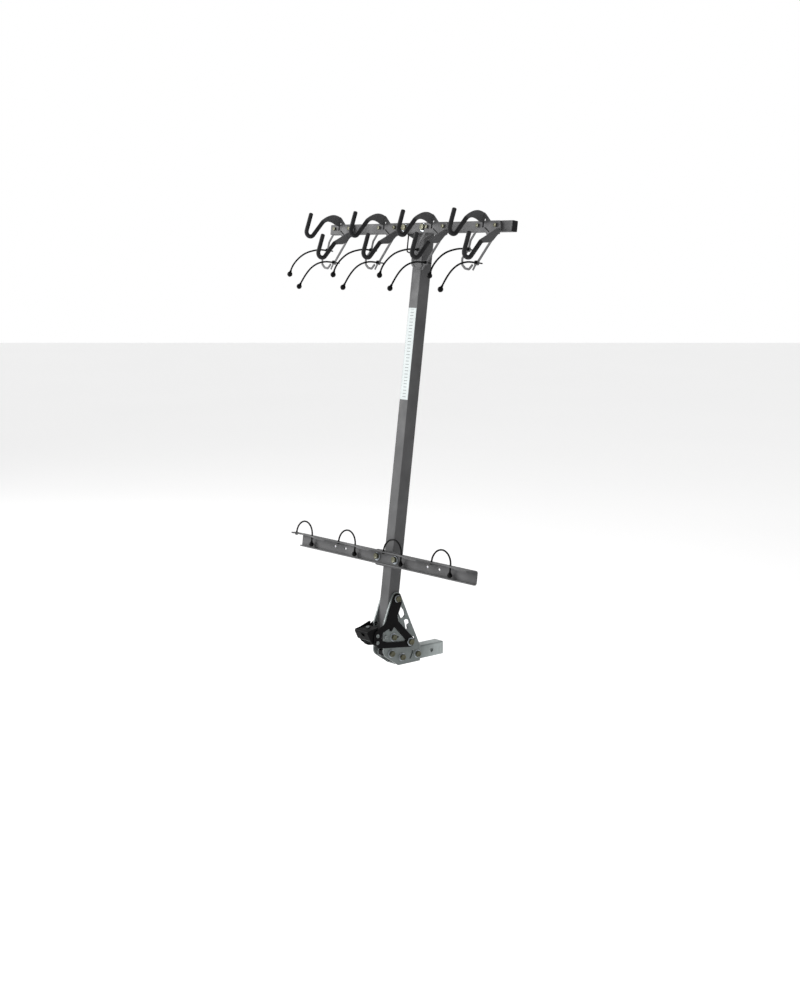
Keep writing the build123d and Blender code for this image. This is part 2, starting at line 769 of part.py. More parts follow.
def bracket(index, left, rods):
    """Plate on the crossbar with one arm bent out for each hook."""
    mid = crossbar_w
    with BuildPart() as plate:
        with BuildSketch(mast_face(strap_front)):
            with BuildLine():
                Polyline(
                    (left - 18.0, mid - 19.0), (left + 38.0, mid - 19.0), (left + 48.0, mid - 31.0),
                    (left + 100.0, mid - 31.0), (left + 111.5, mid - 17.0),
                )
                ThreePointArc(
                    (left + 111.5, mid - 17.0), (left + 113.0, mid + 2.0), (left + 104.0, mid + 18.0)
                )
                Polyline(
                    (left + 104.0, mid + 18.0), (left + 58.0, mid + 18.0), (left + 34.0, mid + 40.0),
                    (left + 24.8, mid + 47.0), (left + 19.8, mid + 47.0), (left + 19.8, mid + 16.0),
                    (left - 4.0, mid + 16.0), (left - 18.0, mid - 19.0)
                )
            make_face()
            with Locations((left, mid), (left + bracket_bolt_pitch, mid)):
                Circle(small_bolt_r, mode=Mode.SUBTRACT)
            with Locations((left + 31.5, mid + 21.0)):
                Circle(bracket_hole_r, mode=Mode.SUBTRACT)
            with Locations((left + 26.0, mid + 4.0)):
                RectangleRounded(8.0, 18.0, 2.0, mode=Mode.SUBTRACT)
            with Locations((left + 49.0, mid - 14.0)):
                SlotOverall(34.0, 4.0, rotation=-33, mode=Mode.SUBTRACT)
        extrude(amount=bracket_t)
        root = strap_front - 1.0
        front = bracket_front
        with BuildSketch(mast_side(left + upper_hook_x - bracket_t / 2)):
            with BuildLine():
                Polyline((root, mid + 14.0), (root, mid + 46.0), (front, mid + 47.0))
                Spline(
                    (front, mid + 47.0), (front - 15.0, mid + 50.5), (front - 34.0, mid + 50.0),
                    (front - 50.0, mid + 44.5), (front - 66.0, mid + 36.0), (front - 86.5, mid + 20.2)
                )
                Line((front - 86.5, mid + 20.2), (front - 73.5, mid + 10.8))
                Spline(
                    (front - 73.5, mid + 10.8), (front - 63.0, mid + 19.0), (front - 40.0, mid + 21.5),
                    (front - 16.0, mid + 13.0)
                )
                Polyline((front - 16.0, mid + 13.0), (front, mid + 11.0), (root, mid + 14.0))
            make_face()
        extrude(amount=bracket_t)
        with BuildSketch(mast_side(left + lower_hook_x - bracket_t / 2)):
            with BuildLine():
                FilletPolyline(
                    (root, mid - 29.0), (front - 3.0, mid - 29.0), (front - 25.0, mid - 55.0),
                    (front - 42.0, mid - 64.0), (front - 62.0, mid - 67.0),
                    (front - 73.5, mid - 69.7), (front - 86.5, mid - 60.3),
                    (front - 56.0, mid - 41.0), (front - 10.0, mid - 11.0), (root, mid - 8.0),
                    radius=1.5, close=True
                )
            make_face()
        extrude(amount=bracket_t)
        add(rods, mode=Mode.SUBTRACT)
    save(plate, f"hook_bracket_{index}")


def strap_plate(index, left):
    """Flat plate behind the bracket with two slanting arms that hold the strap plugs."""
    mid = crossbar_w

    def at(dx, dw):
        return (left + dx, mid + dw)

    with BuildPart() as plate:
        with BuildSketch(mast_face(cross_front)):
            with BuildLine():
                FilletPolyline(
                    at(-17.0, -18.0), at(103.0, -18.0), at(103.0, 15.5), at(-3.0, 15.5), radius=2, close=True
                )
            make_face()
            with BuildLine() as left_arm:
                FilletPolyline(
                    at(-8.0, -10.0), at(-36.0, -48.0), at(-42.0, -80.0), at(-70.0, -112.0),
                    at(-67.0, -134.0), at(-50.0, -147.0), at(-30.0, -150.0), at(-14.0, -134.0), radius=6
                )
            trace(left_arm.line, line_width=8.0)
            with BuildLine() as right_arm:
                Polyline(at(94.0, -16.0), at(14.0, -121.0))
            trace(right_arm.line, line_width=9.0)
            with BuildLine() as tip:
                Polyline(at(6.0, -125.0), at(-10.0, -153.0))
            trace(tip.line, line_width=6.0)
            with Locations(at(*upper_clip)):
                RectangleRounded(20.0, 17.0, 5.0)
            with Locations(at(*lower_clip)):
                RectangleRounded(24.0, 17.0, 5.0)
            with Locations(at(*upper_clip), at(*lower_clip)):
                Circle(strap_d / 2, mode=Mode.SUBTRACT)
            with Locations(at(0, 0), at(bracket_bolt_pitch, 0)):
                Circle(small_bolt_r, mode=Mode.SUBTRACT)
        extrude(amount=strap_plate_t)
    save(plate, f"strap_plate_{index}")


def bracket_hardware():
    points = []
    for i in range(stations):
        left = first_bolt_x + i * station_pitch
        points += [(left, crossbar_w), (left + bracket_bolt_pitch, crossbar_w)]
    grip = cross_back - bracket_front
    with BuildPart() as bolts:
        fastener_rows(mast_face(bracket_front), points, 0, 2.0, 9.0)
        fastener_rows(mast_face(bracket_front), points, 2.0, 2.0 + small_head_h, 0, hex_af=small_bolt_af)
        fastener_rows(mast_face(bracket_front), points, -grip - 11.0, 0, small_bolt_r)
    save(bolts, "bracket_bolts")
    with BuildPart() as nuts:
        fastener_rows(mast_face(cross_back), points, -1.6, 0, 8.5, bore=small_bolt_r)
        fastener_rows(
            mast_face(cross_back), points, -9.0, -1.6, 0, hex_af=small_bolt_af, bore=small_bolt_r
        )
    save(nuts, "bracket_nuts")


# ---- hook straps ----

plug_front = 7.0

# Points of a strap's centreline: distance out from the strap plate, then height, both from its clip.
upper_route = ((7.0, 0.0), (26.0, 0.0), (47.0, -3.4), (68.0, -9.2), (91.0, -17.5), (113.0, -29.0),
               (134.0, -46.0), (152.5, -67.0), (164.5, -88.0), (167.5, -101.0))
lower_route = ((7.0, 0.0), (30.0, 0.0), (54.0, -4.4), (78.0, -13.0), (99.0, -26.5), (116.5, -43.5),
               (131.0, -63.5), (143.0, -84.0), (151.0, -100.0))


def strap_points(x, clip_w, route):
    return [mast_point(x, strap_front - out, clip_w + up) for out, up in route]


def corner_radii(points):
    """Largest arc at each corner: 0.45 of the shorter run over the tangent of half the turn."""
    radii = []
    for before, at, after in zip(points, points[1:], points[2:]):
        first = at - before
        second = after - at
        turn = first.get_angle(second)
        radii.append(0.45 * min(first.length, second.length) / tan(radians(turn / 2)))
    return radii


def hook_strap(label, x, clip_w, route):
    points = strap_points(x, clip_w, route)
    radii = corner_radii(points)
    with BuildPart() as strap:
        with BuildLine() as path:
            FilletPolyline(*points, radius=radii)
        line = path.wires()[0]
        with BuildSketch(Plane(origin=line @ 0, z_dir=line % 0)):
            Circle(strap_d / 2)
        sweep()
    expected = line.length * pi * (strap_d / 2) ** 2
    print(label, "radii", [round(r, 1) for r in radii], "length", round(line.length, 1),
          "volume ratio", round(strap.part.volume / expected, 4))
    save(strap, label)
    return line


def hook_straps():
    kinds = (("upper", upper_clip, upper_route), ("lower", lower_clip, lower_route))
    with BuildPart() as balls:
        for i in range(stations):
            left = first_bolt_x + i * station_pitch
            for kind, clip, route in kinds:
                line = hook_strap(f"hook_strap_{kind}_{i + 1}", left + clip[0], crossbar_w + clip[1], route)
                end = line @ 1
                heading = line % 1
                with BuildSketch(Plane(origin=end, z_dir=heading)):
                    Circle(strap_d / 2 + 1.2)
                extrude(amount=6.0)
                with Locations(end + heading * (strap_ball_r + 2.0)):
                    Sphere(strap_ball_r)
    save(balls, "strap_balls")
    points = []
    for i in range(stations):
        left = first_bolt_x + i * station_pitch
        for clip in (upper_clip, lower_clip):
            points.append((left + clip[0], crossbar_w + clip[1]))
    face = mast_face(strap_front)
    with BuildPart() as plugs:
        fastener_rows(face, points, 0, plug_front, 5.6)
        fastener_rows(face, points, -strap_plate_t, 0, strap_d / 2)
        fastener_rows(face, points, -strap_plate_t - 6.0, -strap_plate_t, 5.6)
        fastener_rows(face, points, -strap_plate_t - 26.0, -strap_plate_t - 6.0, 2.6)
    save(plugs, "strap_plugs")


# ---- make everything ----

hitch_tube()
side_plate("side_plate_left", -plate_out)
side_plate("side_plate_right", plate_in)
base_hardware()
lever_pivot_bolts()
rest_block()
latch_plate("latch_plate_left", -lever_out)
latch_plate("latch_plate_right", lever_in)
foot_pedal()
pedal_screws_set()
lock_bolt()
mast()
save(catch, "catch_arm")
head_plate()
crossbar()
mast_bolts()
lock_loop()
wheel_bar()
wheel_ties()
for i in range(stations):
    bolt_x = first_bolt_x + i * station_pitch
    station_rods = hook_rods(i + 1, (bolt_x + upper_hook_x, bolt_x + lower_hook_x))
    bracket(i + 1, bolt_x, station_rods)
    strap_plate(i + 1, bolt_x)
bracket_hardware()
hook_straps()
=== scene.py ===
import json
import math

import bmesh
import bpy
from mathutils import Matrix, Vector


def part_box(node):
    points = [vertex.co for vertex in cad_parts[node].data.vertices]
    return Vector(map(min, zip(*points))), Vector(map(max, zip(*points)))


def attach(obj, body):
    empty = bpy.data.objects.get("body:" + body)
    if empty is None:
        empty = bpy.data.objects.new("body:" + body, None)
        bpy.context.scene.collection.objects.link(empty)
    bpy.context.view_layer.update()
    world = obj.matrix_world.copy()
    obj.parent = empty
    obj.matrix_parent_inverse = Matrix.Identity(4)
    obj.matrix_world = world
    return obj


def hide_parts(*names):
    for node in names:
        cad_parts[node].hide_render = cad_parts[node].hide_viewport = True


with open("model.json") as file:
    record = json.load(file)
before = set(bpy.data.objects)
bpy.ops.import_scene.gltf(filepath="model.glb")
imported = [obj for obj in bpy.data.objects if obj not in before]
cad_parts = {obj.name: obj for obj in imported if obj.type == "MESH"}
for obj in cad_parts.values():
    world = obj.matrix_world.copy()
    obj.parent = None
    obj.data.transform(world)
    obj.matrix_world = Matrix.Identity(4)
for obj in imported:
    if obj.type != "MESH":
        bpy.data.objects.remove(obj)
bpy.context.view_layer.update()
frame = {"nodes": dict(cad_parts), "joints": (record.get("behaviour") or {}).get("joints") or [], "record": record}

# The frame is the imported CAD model: metres, origin at the hitch pin hole, +Y to the vehicle, +Z up.
MM = 0.001

# ---- the mast's own directions ----

LEAN = math.radians(7.4)
ALONG_V = Vector((0, math.cos(LEAN), -math.sin(LEAN)))
ALONG_W = Vector((0, math.sin(LEAN), math.cos(LEAN)))
PIVOT = Vector(next(j for j in frame["joints"] if j["name"] == "mast_tilt")["pos_m"])
SIDEWAYS = Vector((1, 0, 0))
REARWARD = -ALONG_V


def mast_point(x, v, w):
    """Millimetres across the rack, square to the mast and up along it, from the mast's pivot."""
    return PIVOT + (SIDEWAYS * x + ALONG_V * v + ALONG_W * w) * MM


# ---- camera ----

CAMERA_PLACE = (4.2891, -3.8445, 1.4788)
CAMERA_TURN = math.radians(49.18)
CAMERA_DROP = math.radians(8.88)
CAMERA_LENS = 55.3


def add_camera():
    data = bpy.data.cameras.new("camera")
    data.lens = CAMERA_LENS
    data.sensor_width = 36.0
    data.clip_end = 60.0
    camera = bpy.data.objects.new("camera", data)
    camera.location = CAMERA_PLACE
    camera.rotation_euler = (math.pi / 2 - CAMERA_DROP, 0, CAMERA_TURN)
    bpy.context.scene.collection.objects.link(camera)
    bpy.context.scene.camera = camera


add_camera()

# ---- hook straps: rubber cords with a ball on the free end ----

STATIONS = 4
STATION_PITCH = 267.5
FIRST_BOLT_X = 345.0 - (STATIONS - 1) * STATION_PITCH
CROSSBAR_W = 1516.0
STRAP_FRONT = -69.4
STRAP_D = 6.5
CLIPS = {"upper": (-42.0, -81.0), "lower": (6.0, -127.5)}
# Distance out from the strap plate and height above the clip, millimetres.
ROUTES = {
    "upper": ((7.0, 0.0), (26.0, 0.0), (47.0, -3.4), (68.0, -9.2), (91.0, -17.5), (113.0, -29.0),
              (134.0, -46.0), (152.5, -67.0), (164.5, -88.0), (167.5, -101.0)),
    "lower": ((7.0, 0.0), (30.0, 0.0), (54.0, -4.4), (78.0, -13.0), (99.0, -26.5), (116.5, -43.5),
              (131.0, -63.5), (143.0, -84.0), (151.0, -100.0)),
}


def strap_route(kind, station):
    across, up = CLIPS[kind]
    x = FIRST_BOLT_X + station * STATION_PITCH + across
    return [mast_point(x, STRAP_FRONT - out, CROSSBAR_W + up + rise) for out, rise in ROUTES[kind]]


def strap_curve(name, route):
    curve = bpy.data.curves.new(name, "CURVE")
    curve.dimensions = "3D"
    curve.bevel_depth = STRAP_D / 2 * MM
    curve.bevel_resolution = 5
    curve.resolution_u = 10
    curve.use_fill_caps = True
    spline = curve.splines.new("NURBS")
    spline.points.add(len(route) - 1)
    for point, place in zip(spline.points, route):
        point.co = (*place, 1)
    spline.order_u = 3
    spline.use_endpoint_u = True
    obj = bpy.data.objects.new(name, curve)
    bpy.context.scene.collection.objects.link(obj)
    return obj


straps = []
for number in range(STATIONS):
    for kind in ("upper", "lower"):
        route = strap_route(kind, number)
        piece = strap_curve(f"strap_{kind}_{number + 1}", route)
        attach(piece, "mast")
        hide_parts(f"hook_strap_{kind}_{number + 1}")
        straps.append((piece, kind, route))

# ---- material kit ----


class Finish:
    """A node material with one Principled shader, in object coordinates (metres)."""

    def __init__(self, name, roughness, metallic=0.0, specular=0.5):
        self.material = bpy.data.materials.new(name)
        self.material.use_nodes = True
        self.tree = self.material.node_tree
        self.tree.nodes.clear()
        output = self.add("ShaderNodeOutputMaterial")
        self.shader = self.add("ShaderNodeBsdfPrincipled")
        self.link(self.shader.outputs[0], output.inputs[0])
        self.shader.inputs["Roughness"].default_value = roughness
        self.shader.inputs["Metallic"].default_value = metallic
        self.shader.inputs["Specular IOR Level"].default_value = specular
        self.coords = self.add("ShaderNodeTexCoord").outputs["Object"]

    def add(self, kind, **settings):
        node = self.tree.nodes.new(kind)
        for key, value in settings.items():
            setattr(node, key, value)
        return node

    def link(self, source, target):
        self.tree.links.new(source, target)

    def noise(self, scale, detail=3.0, stretch=(1, 1, 1), turn=(0, 0, 0)):
        mapping = self.add("ShaderNodeMapping")
        mapping.inputs["Scale"].default_value = stretch
        mapping.inputs["Rotation"].default_value = turn
        self.link(self.coords, mapping.inputs["Vector"])
        node = self.add("ShaderNodeTexNoise")
        node.inputs["Scale"].default_value = scale
        node.inputs["Detail"].default_value = detail
        self.link(mapping.outputs[0], node.inputs["Vector"])
        return node.outputs["Fac"]

    def cells(self, scale):
        node = self.add("ShaderNodeTexVoronoi")
        node.inputs["Scale"].default_value = scale
        self.link(self.coords, node.inputs["Vector"])
        return node.outputs["Color"]

    def ramp(self, value, low, high, start=0.0, end=1.0):
        """Maps a value between low and high to the range start to end."""
        node = self.add("ShaderNodeMapRange")
        node.inputs["From Min"].default_value = low
        node.inputs["From Max"].default_value = high
        node.inputs["To Min"].default_value = start
        node.inputs["To Max"].default_value = end
        self.link(value, node.inputs["Value"])
        return node.outputs["Result"]

    def mix(self, factor, first, second):
        node = self.add("ShaderNodeMix", data_type="RGBA")
        self.link(factor, node.inputs["Factor"])
        for socket, value in ((node.inputs[6], first), (node.inputs[7], second)):
            if isinstance(value, tuple):
                socket.default_value = (*value, 1)
            else:
                self.link(value, socket)
        return node.outputs[2]

    def math(self, operation, first, second):
        node = self.add("ShaderNodeMath", operation=operation)
        for socket, value in zip(node.inputs, (first, second)):
            if isinstance(value, float):
                socket.default_value = value
            else:
                self.link(value, socket)
        return node.outputs[0]

    def edges(self, radius):
        """1 near the outer edges of a piece and 0 on its faces."""
        bevel = self.add("ShaderNodeBevel", samples=4)
        bevel.inputs["Radius"].default_value = radius
        true_normal = self.add("ShaderNodeNewGeometry").outputs["Normal"]
        dot = self.add("ShaderNodeVectorMath", operation="DOT_PRODUCT")
        self.link(bevel.outputs[0], dot.inputs[0])
        self.link(true_normal, dot.inputs[1])
        return self.ramp(dot.outputs["Value"], 0.995, 0.85)

    def surface(self, color, height, depth, round_edges=0.0006):
        """Colour, and a bump of the given depth over slightly rounded edges."""
        self.link(color, self.shader.inputs["Base Color"])
        bevel = self.add("ShaderNodeBevel", samples=4)
        bevel.inputs["Radius"].default_value = round_edges
        bump = self.add("ShaderNodeBump")
        bump.inputs["Strength"].default_value = 1.0
        bump.inputs["Distance"].default_value = depth
        self.link(height, bump.inputs["Height"])
        self.link(bevel.outputs[0], bump.inputs["Normal"])
        self.link(bump.outputs[0], self.shader.inputs["Normal"])

    def roughness(self, value):
        self.link(value, self.shader.inputs["Roughness"])


def painted(name, color, rough, grain, depth, edge_wear_and_highlight=0.35, worn_and_highlight_tone=(0.30, 0.30, 0.31), specular=0.4):
    """Powder coat: orange peel, dusty patches and thin bright wear along the edges."""
    finish = Finish(name, rough, specular=specular)
    dust = finish.ramp(finish.noise(9.0, 4.0), 0.35, 0.7)
    pale = tuple(c * 1.25 + 0.001 for c in color)
    dark = tuple(c * 0.84 for c in color)
    tone = finish.mix(dust, dark, pale)
    speck = finish.ramp(finish.noise(grain * 0.8, 1.0), 0.62, 0.74, 0.0, 0.18)
    tone = finish.mix(speck, tone, tuple(c * 1.8 + 0.003 for c in color))
    chipped = finish.math("MULTIPLY", finish.edges(0.0011), finish.ramp(finish.noise(160.0), 0.45, 0.62))
    tone = finish.mix(finish.math("MULTIPLY", chipped, edge_wear_and_highlight), tone, worn_and_highlight_tone)
    finish.roughness(finish.ramp(finish.noise(30.0), 0.3, 0.7, rough - 0.06, rough + 0.08))
    finish.surface(tone, finish.noise(grain, 2.0), depth)
    return finish.material


def plated(name, color, tint, rough, metallic, streak=(1, 1, 1), edge_wear_and_highlight=0.5, worn_and_highlight_tone=(0.80, 0.82, 0.82),
           specular=0.5, rubbed_and_lit_end=None):
    """Zinc plating: spangle, streaks and stains; edge wear mixed with a painted highlight along the edges; and
    painted light, paler towards +Y, when a lit-end tone is given.
    """
    finish = Finish(name, rough, metallic=metallic, specular=specular)
    spangle = finish.ramp(finish.cells(520.0), 0.0, 1.0)
    patches = finish.ramp(finish.noise(26.0, 5.0), 0.36, 0.68)
    streaks = finish.ramp(finish.noise(120.0, 3.0, streak), 0.35, 0.7)
    tone = finish.mix(patches, color, tint)
    # Painted light: the zinc turns paler towards +Y, standing in for the brighter lit end of the hitch tube.
    if rubbed_and_lit_end:
        axes = finish.add("ShaderNodeSeparateXYZ")
        finish.link(finish.coords, axes.inputs[0])
        tone = finish.mix(finish.ramp(axes.outputs["Y"], -0.07, 0.03), tone, rubbed_and_lit_end)
    tone = finish.mix(finish.math("MULTIPLY", spangle, 0.22), tone, tuple(c * 1.35 for c in color))
    tone = finish.mix(finish.math("MULTIPLY", streaks, 0.18), tone, tuple(c * 0.6 for c in color))
    # Edge wear with a painted highlight: the edges are mixed towards the pale worn tone, standing in for light
    # caught along them.
    tone = finish.mix(finish.math("MULTIPLY", finish.edges(0.0010), edge_wear_and_highlight), tone, worn_and_highlight_tone)
    finish.roughness(finish.ramp(finish.noise(75.0, 4.0), 0.3, 0.7, rough - 0.08, rough + 0.12))
    finish.surface(tone, finish.noise(700.0, 3.0, streak), 0.00006)
    return finish.material


def moulded(name, color, rough, grain, depth, bloom=0.3, specular=0.5):
    """Rubber or plastic: fine mould texture, handling marks and a greyish bloom."""
    finish = Finish(name, rough, specular=specular)
    haze = finish.ramp(finish.noise(38.0, 5.0), 0.42, 0.75, 0.0, bloom)
    tone = finish.mix(haze, color, tuple(c * 1.8 + 0.012 for c in color))
    rubbed_and_lit_end = finish.ramp(finish.noise(210.0, 2.0), 0.6, 0.72, 0.0, 0.3)
    tone = finish.mix(rubbed_and_lit_end, tone, tuple(c * 0.6 for c in color))
    finish.roughness(finish.ramp(finish.noise(90.0), 0.3, 0.7, rough - 0.07, rough + 0.1))
    finish.surface(tone, finish.noise(grain, 2.0), depth, 0.0004)
    return finish.material


def label_film():
    """Pale film with plain ticks of one weight, evenly spaced from end to end."""
    finish = Finish("label_film", 0.5, specular=0.15)
    turned = finish.add("ShaderNodeMapping")
    turned.inputs["Rotation"].default_value = (LEAN, 0, 0)
    finish.link(finish.coords, turned.inputs["Vector"])
    axes = finish.add("ShaderNodeSeparateXYZ")
    finish.link(turned.outputs[0], axes.inputs[0])
    low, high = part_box("mast_decal")
    middle = (Vector(low) + Vector(high)) / 2
    middle.rotate(Matrix.Rotation(LEAN, 3, "X"))
    height = finish.math("SUBTRACT", axes.outputs["Z"], middle.z)
    across = finish.math("ABSOLUTE", axes.outputs["X"], 0.0)

    pitch, share, half_length, half_width = 0.012, 0.16, 0.165, 0.009
    phase = finish.math("FRACT", finish.math("DIVIDE", finish.math("ADD", height, 1.0), pitch), 0.0)
    on_tick = finish.math("LESS_THAN", phase, share)
    inside = finish.math("LESS_THAN", finish.math("ABSOLUTE", height, 0.0), half_length)
    narrow = finish.math("LESS_THAN", across, half_width)
    ticks = finish.math("MULTIPLY", finish.math("MULTIPLY", on_tick, inside), narrow)
    shade = finish.ramp(finish.noise(14.0, 4.0), 0.3, 0.7)
    tone = finish.mix(shade, (0.56, 0.605, 0.605), (0.61, 0.655, 0.655))
    tone = finish.mix(ticks, tone, (0.16, 0.17, 0.17))
    finish.surface(tone, finish.noise(600.0, 2.0), 0.00002, 0.0002)
    return finish.material


materials = {
    "powder_coat": painted("powder_coat", (0.080, 0.080, 0.082), 0.55, 1100.0, 0.00004, specular=0.3),
    "black_paint": painted("black_paint", (0.0030, 0.0030, 0.0033), 0.45, 1100.0, 0.00004,
                           worn_and_highlight_tone=(0.08, 0.08, 0.084), specular=0.06),
    # Zinc: 0.8 of painted edge highlight over the edge wear, and a paler tone towards +Y as painted light.
    "zinc": plated("zinc", (0.18, 0.2, 0.197), (0.145, 0.162, 0.16), 0.42, 0.35, (1, 1, 0.25), 0.8,
                   specular=0.25, rubbed_and_lit_end=(0.42, 0.46, 0.455)),
    "yellow_zinc": plated("yellow_zinc", (0.092, 0.087, 0.050), (0.066, 0.068, 0.043), 0.34, 0.55,
                          edge_wear_and_highlight=0.3, worn_and_highlight_tone=(0.42, 0.40, 0.28)),
    "pale_zinc": plated("pale_zinc", (0.36, 0.39, 0.42), (0.28, 0.31, 0.335), 0.32, 0.6),
    "dark_steel": plated("dark_steel", (0.05, 0.05, 0.052), (0.035, 0.035, 0.037), 0.4, 0.7,
                         edge_wear_and_highlight=0.3, worn_and_highlight_tone=(0.25, 0.25, 0.25)),
    "rubber": moulded("rubber", (0.003, 0.003, 0.0032), 0.42, 900.0, 0.00002, 0.2, 0.08),
    "sleeve_rubber": moulded("sleeve_rubber", (0.0135, 0.0135, 0.0145), 0.6, 700.0, 0.00005, 0.5, 0.2),
    "cap_plastic": moulded("cap_plastic", (0.006, 0.006, 0.0065), 0.4, 1100.0, 0.00004, 0.3, 0.3),
    "decal": label_film(),
}


def paint_frame():
    """Every CAD node takes the material of its slot."""
    for entry in frame["record"]["subparts"]:
        mesh = frame["nodes"][entry["node"]].data
        mesh.materials.clear()
        mesh.materials.append(materials[entry["material_slot"]])


paint_frame()
for piece, _, _ in straps:
    piece.data.materials.append(materials["rubber"])

# ---- mesh kit ----


def add_piece(name, build, body, slot, replaces=(), sharp=32.0):
    """Makes an object from a function that fills a bmesh, and rides it on a body."""
    shape = bmesh.new()
    build(shape)
    bmesh.ops.remove_doubles(shape, verts=shape.verts, dist=1e-6)
    bmesh.ops.recalc_face_normals(shape, faces=shape.faces)
    mesh = bpy.data.meshes.new(name)
    shape.to_mesh(mesh)
    shape.free()
    mesh.shade_smooth()
    mesh.set_sharp_from_angle(angle=math.radians(sharp))
    mesh.materials.append(materials[slot])
    obj = bpy.data.objects.new(name, mesh)
    bpy.context.scene.collection.objects.link(obj)
    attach(obj, body)
    if replaces:
        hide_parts(*replaces)
    return obj


def lathe(shape, origin, axis, profile, segments=48, flats=None, closed=False):
    """Turns (along, radius) millimetre points about an axis; flats cuts the turned body to a hexagon."""
    axis = axis.normalized()
    side = (SIDEWAYS if abs(axis.x) < 0.5 else Vector((0, 0, 1)))
    side = (side - axis * side.dot(axis)).normalized()
    other = axis.cross(side)
    rings = []
    for along, radius in profile:
        ring = []
        for step in range(segments):
            angle = math.tau * step / segments
            reach = radius
            if flats:
                within = (angle + math.pi / 6) % (math.pi / 3) - math.pi / 6
                reach = min(radius, flats / 2 / math.cos(within))
            place = origin + (axis * along + (side * math.cos(angle) + other * math.sin(angle)) * reach) * MM
            ring.append(shape.verts.new(place))
        rings.append(ring)
    pairs = list(zip(rings, rings[1:]))
    if closed:
        pairs.append((rings[-1], rings[0]))
    else:
        shape.faces.new(rings[0])
        shape.faces.new(rings[-1])
    for lower, upper in pairs:
        for step in range(segments):
            after = (step + 1) % segments
            shape.faces.new((lower[step], lower[after], upper[after], upper[step]))


def tube(shape, points, radius, sides=12):
    """Round bar along points in metres; radius is in millimetres, or a function of the point's index."""
    heading = (points[1] - points[0]).normalized()
    side = heading.orthogonal().normalized()
    rings = []
    for index, place in enumerate(points):
        ahead = points[min(index + 1, len(points) - 1)] - points[max(index - 1, 0)]
        ahead.normalize()
        side = (side - ahead * side.dot(ahead)).normalized()
        other = ahead.cross(side)
        size = (radius(index) if callable(radius) else radius) * MM
        rings.append([shape.verts.new(place + (side * math.cos(math.tau * k / sides)
                                               + other * math.sin(math.tau * k / sides)) * size)
                      for k in range(sides)])
    for lower, upper in zip(rings, rings[1:]):
        for k in range(sides):
            shape.faces.new((lower[k], lower[(k + 1) % sides], upper[(k + 1) % sides], upper[k]))
    shape.faces.new(rings[0])
    shape.faces.new(rings[-1])


def solids(node):
    """The separate solids of a CAD node, each as a list of its corner points."""
    shape = bmesh.new()
    shape.from_mesh(frame["nodes"][node].data)
    bmesh.ops.remove_doubles(shape, verts=shape.verts, dist=1e-5)
    found = []
    seen = set()
    for start in shape.verts:
        if start in seen:
            continue
        seen.add(start)
        group = [start]
        queue = [start]
        while queue:
            for edge in queue.pop().link_edges:
                for vert in edge.verts:
                    if vert not in seen:
                        seen.add(vert)
                        group.append(vert)
                        queue.append(vert)
        found.append([vert.co.copy() for vert in group])
    shape.free()
    return found


def middle_of(points):
    return Vector([(min(p[i] for p in points) + max(p[i] for p in points)) / 2 for i in range(3)])


def span(points, axis):
    """A solid's foot on its axis, and its length along that axis in millimetres."""
    middle = middle_of(points)
    low = min((p - middle).dot(axis) for p in points)
    high = max((p - middle).dot(axis) for p in points)
    return middle + axis * low, (high - low) / MM


# ---- fasteners ----

HALF_INCH = {"shank": 6.3, "flats": 21.0, "head": 9.5, "pitch": 1.95}
SMALL = {"shank": 4.0, "flats": 13.0, "head": 5.0, "pitch": 1.25}
# Distances from the middle of the base to the outer faces of its side plates and latch plates.
PLATE_T = 6.0
PLATE_FACE = 31.4
LEVER_FACE = 36.6
SIDE_GAP = 0.4
WASHER_T = 2.5
WASHER_R = 15.5
LEVER_WASHER_R = 13.5
TREAD_UP = Vector((0, -10.0, 52.0)).normalized()


def hex_profile(start, height, flats):
    """Profile of a hexagon whose corners are turned off at both ends."""
    corner = flats / 2 / math.cos(math.pi / 6)
    face = flats / 2 * 0.95
    drop = (corner - face) * 0.55
    return [(start, face), (start + drop, corner), (start + height - drop, corner), (start + height, face)]


def threads(start, end, radius, pitch):
    """Zigzag profile of a threaded end between two heights."""
    turns = max(1, int((end - start) / pitch))
    step = (end - start) / turns
    profile = []
    for turn in range(turns):
        profile += [(start + turn * step, radius - 0.7), (start + (turn + 0.5) * step, radius)]
    return profile


def cap_head(shape, foot, out, start, size):
    """Chamfered hex head with a washer face below and a shallow dish on top."""
    flats, top = size["flats"], start + size["head"]
    lathe(shape, foot, out, [(start, flats / 2 * 0.93), (start + 0.5, flats / 2 * 0.93)]
          + hex_profile(start + 0.5, size["head"] - 0.9, flats)
          + [(top - 0.4, flats / 2 * 0.80), (top - 0.7, flats / 2 * 0.72)], 72, flats)


def bolt(shape, points, out, size, thread=22.0):
    """Hex bolt along a CAD bolt: head outermost along out, threaded tail at the other end."""
    foot, length = span(points, out)
    top = length - size["head"]
    shank = size["shank"]
    lathe(shape, foot, out, [(0.0, shank - 1.3), (1.2, shank - 0.2)]
          + threads(1.4, min(thread, top - 1.0), shank, size["pitch"]) + [(top, shank)])
    cap_head(shape, foot, out, top, size)


def nut_ring(shape, foot, out, start, height, size):
    """Hexagon chamfered at both ends, with a countersunk bore."""
    bore = size["shank"]
    profile = [(start, bore)] + hex_profile(start, height, size["flats"])
    profile += [(start + height, bore + 0.7), (start + height - 0.7, bore)]
    lathe(shape, foot, out, profile, 72, size["flats"], closed=True)


def nut(shape, points, out, size):
    foot, length = span(points, out)
    nut_ring(shape, foot, out, 0.0, length, size)


def flat_washer(shape, foot, out, start, length, bore, radius):
    top = start + length
    lathe(shape, foot, out, [(start, bore), (start, radius - 0.4), (start + 0.4, radius),
                             (top - 0.5, radius), (top, radius - 0.6), (top, bore + 0.3)], 56, closed=True)


def washer(shape, points, out, bore, radius):
    foot, length = span(points, out)
    flat_washer(shape, foot, out, 0.0, length, bore, radius)


